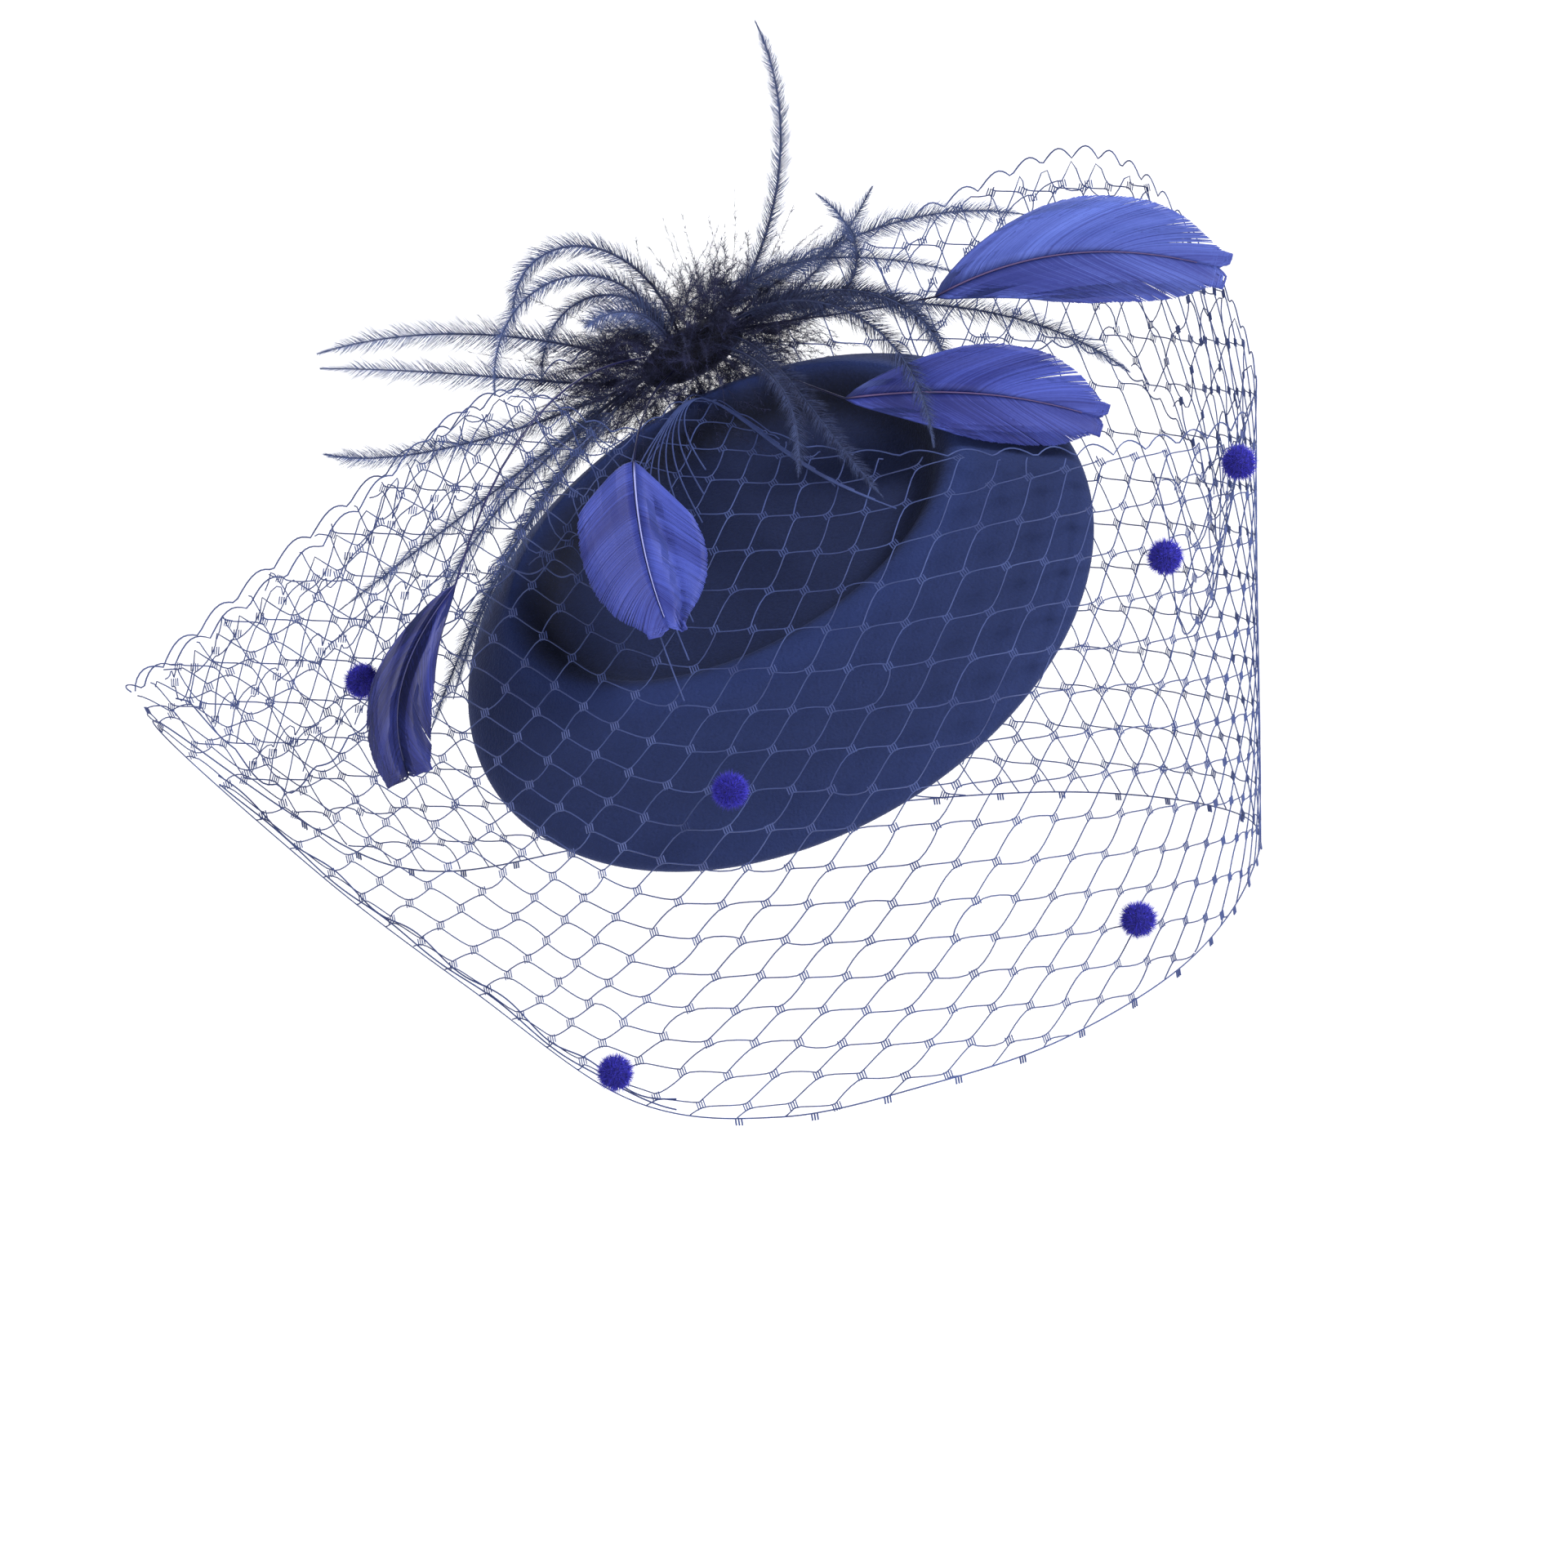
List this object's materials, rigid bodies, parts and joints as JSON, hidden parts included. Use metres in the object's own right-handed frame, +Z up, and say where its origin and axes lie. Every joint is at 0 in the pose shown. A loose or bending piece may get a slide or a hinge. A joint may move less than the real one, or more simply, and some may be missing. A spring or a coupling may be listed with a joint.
{
  "type": "veiled felt cocktail hat",
  "caption": "Felt saucer cocktail hat, shaped as worn: a face veil of open net with chenille dots, a fluffy feather plume and goose feathers over a sunken oval dish.",
  "frame": {"origin": "middle of the felt saucer's seat on the head, in the plane of its lower edge", "axes": "+Z up as the hat is worn; the wearer faces -Y, so +X is the wearer's left"},
  "size_m": [0.2871, 0.2626, 0.2942],
  "materials": {
    "navy_felt": "matt wool felt",
    "comb_plastic": "dark satin plastic",
    "navy_net": "stiff open netting",
    "chenille": "short chenille pile",
    "navy_plume": "downy plume with stripped fronds",
    "goose_blue": "dyed goose feather"
  },
  "bodies": {
    "root": {"felt_base": "navy_felt", "hair_comb": "comb_plastic", "veil_net": "navy_net", "veil_frill_left": "navy_net", "veil_frill_right": "navy_net", "veil_dot_1": "chenille", "veil_dot_2": "chenille", "veil_dot_3": "chenille", "veil_dot_4": "chenille", "veil_dot_5": "chenille", "veil_dot_6": "chenille", "feather_plume": "navy_plume", "goose_feather_1": "goose_blue", "goose_feather_2": "goose_blue", "goose_feather_3": "goose_blue", "goose_feather_4": "goose_blue"}
  },
  "joints": []
}
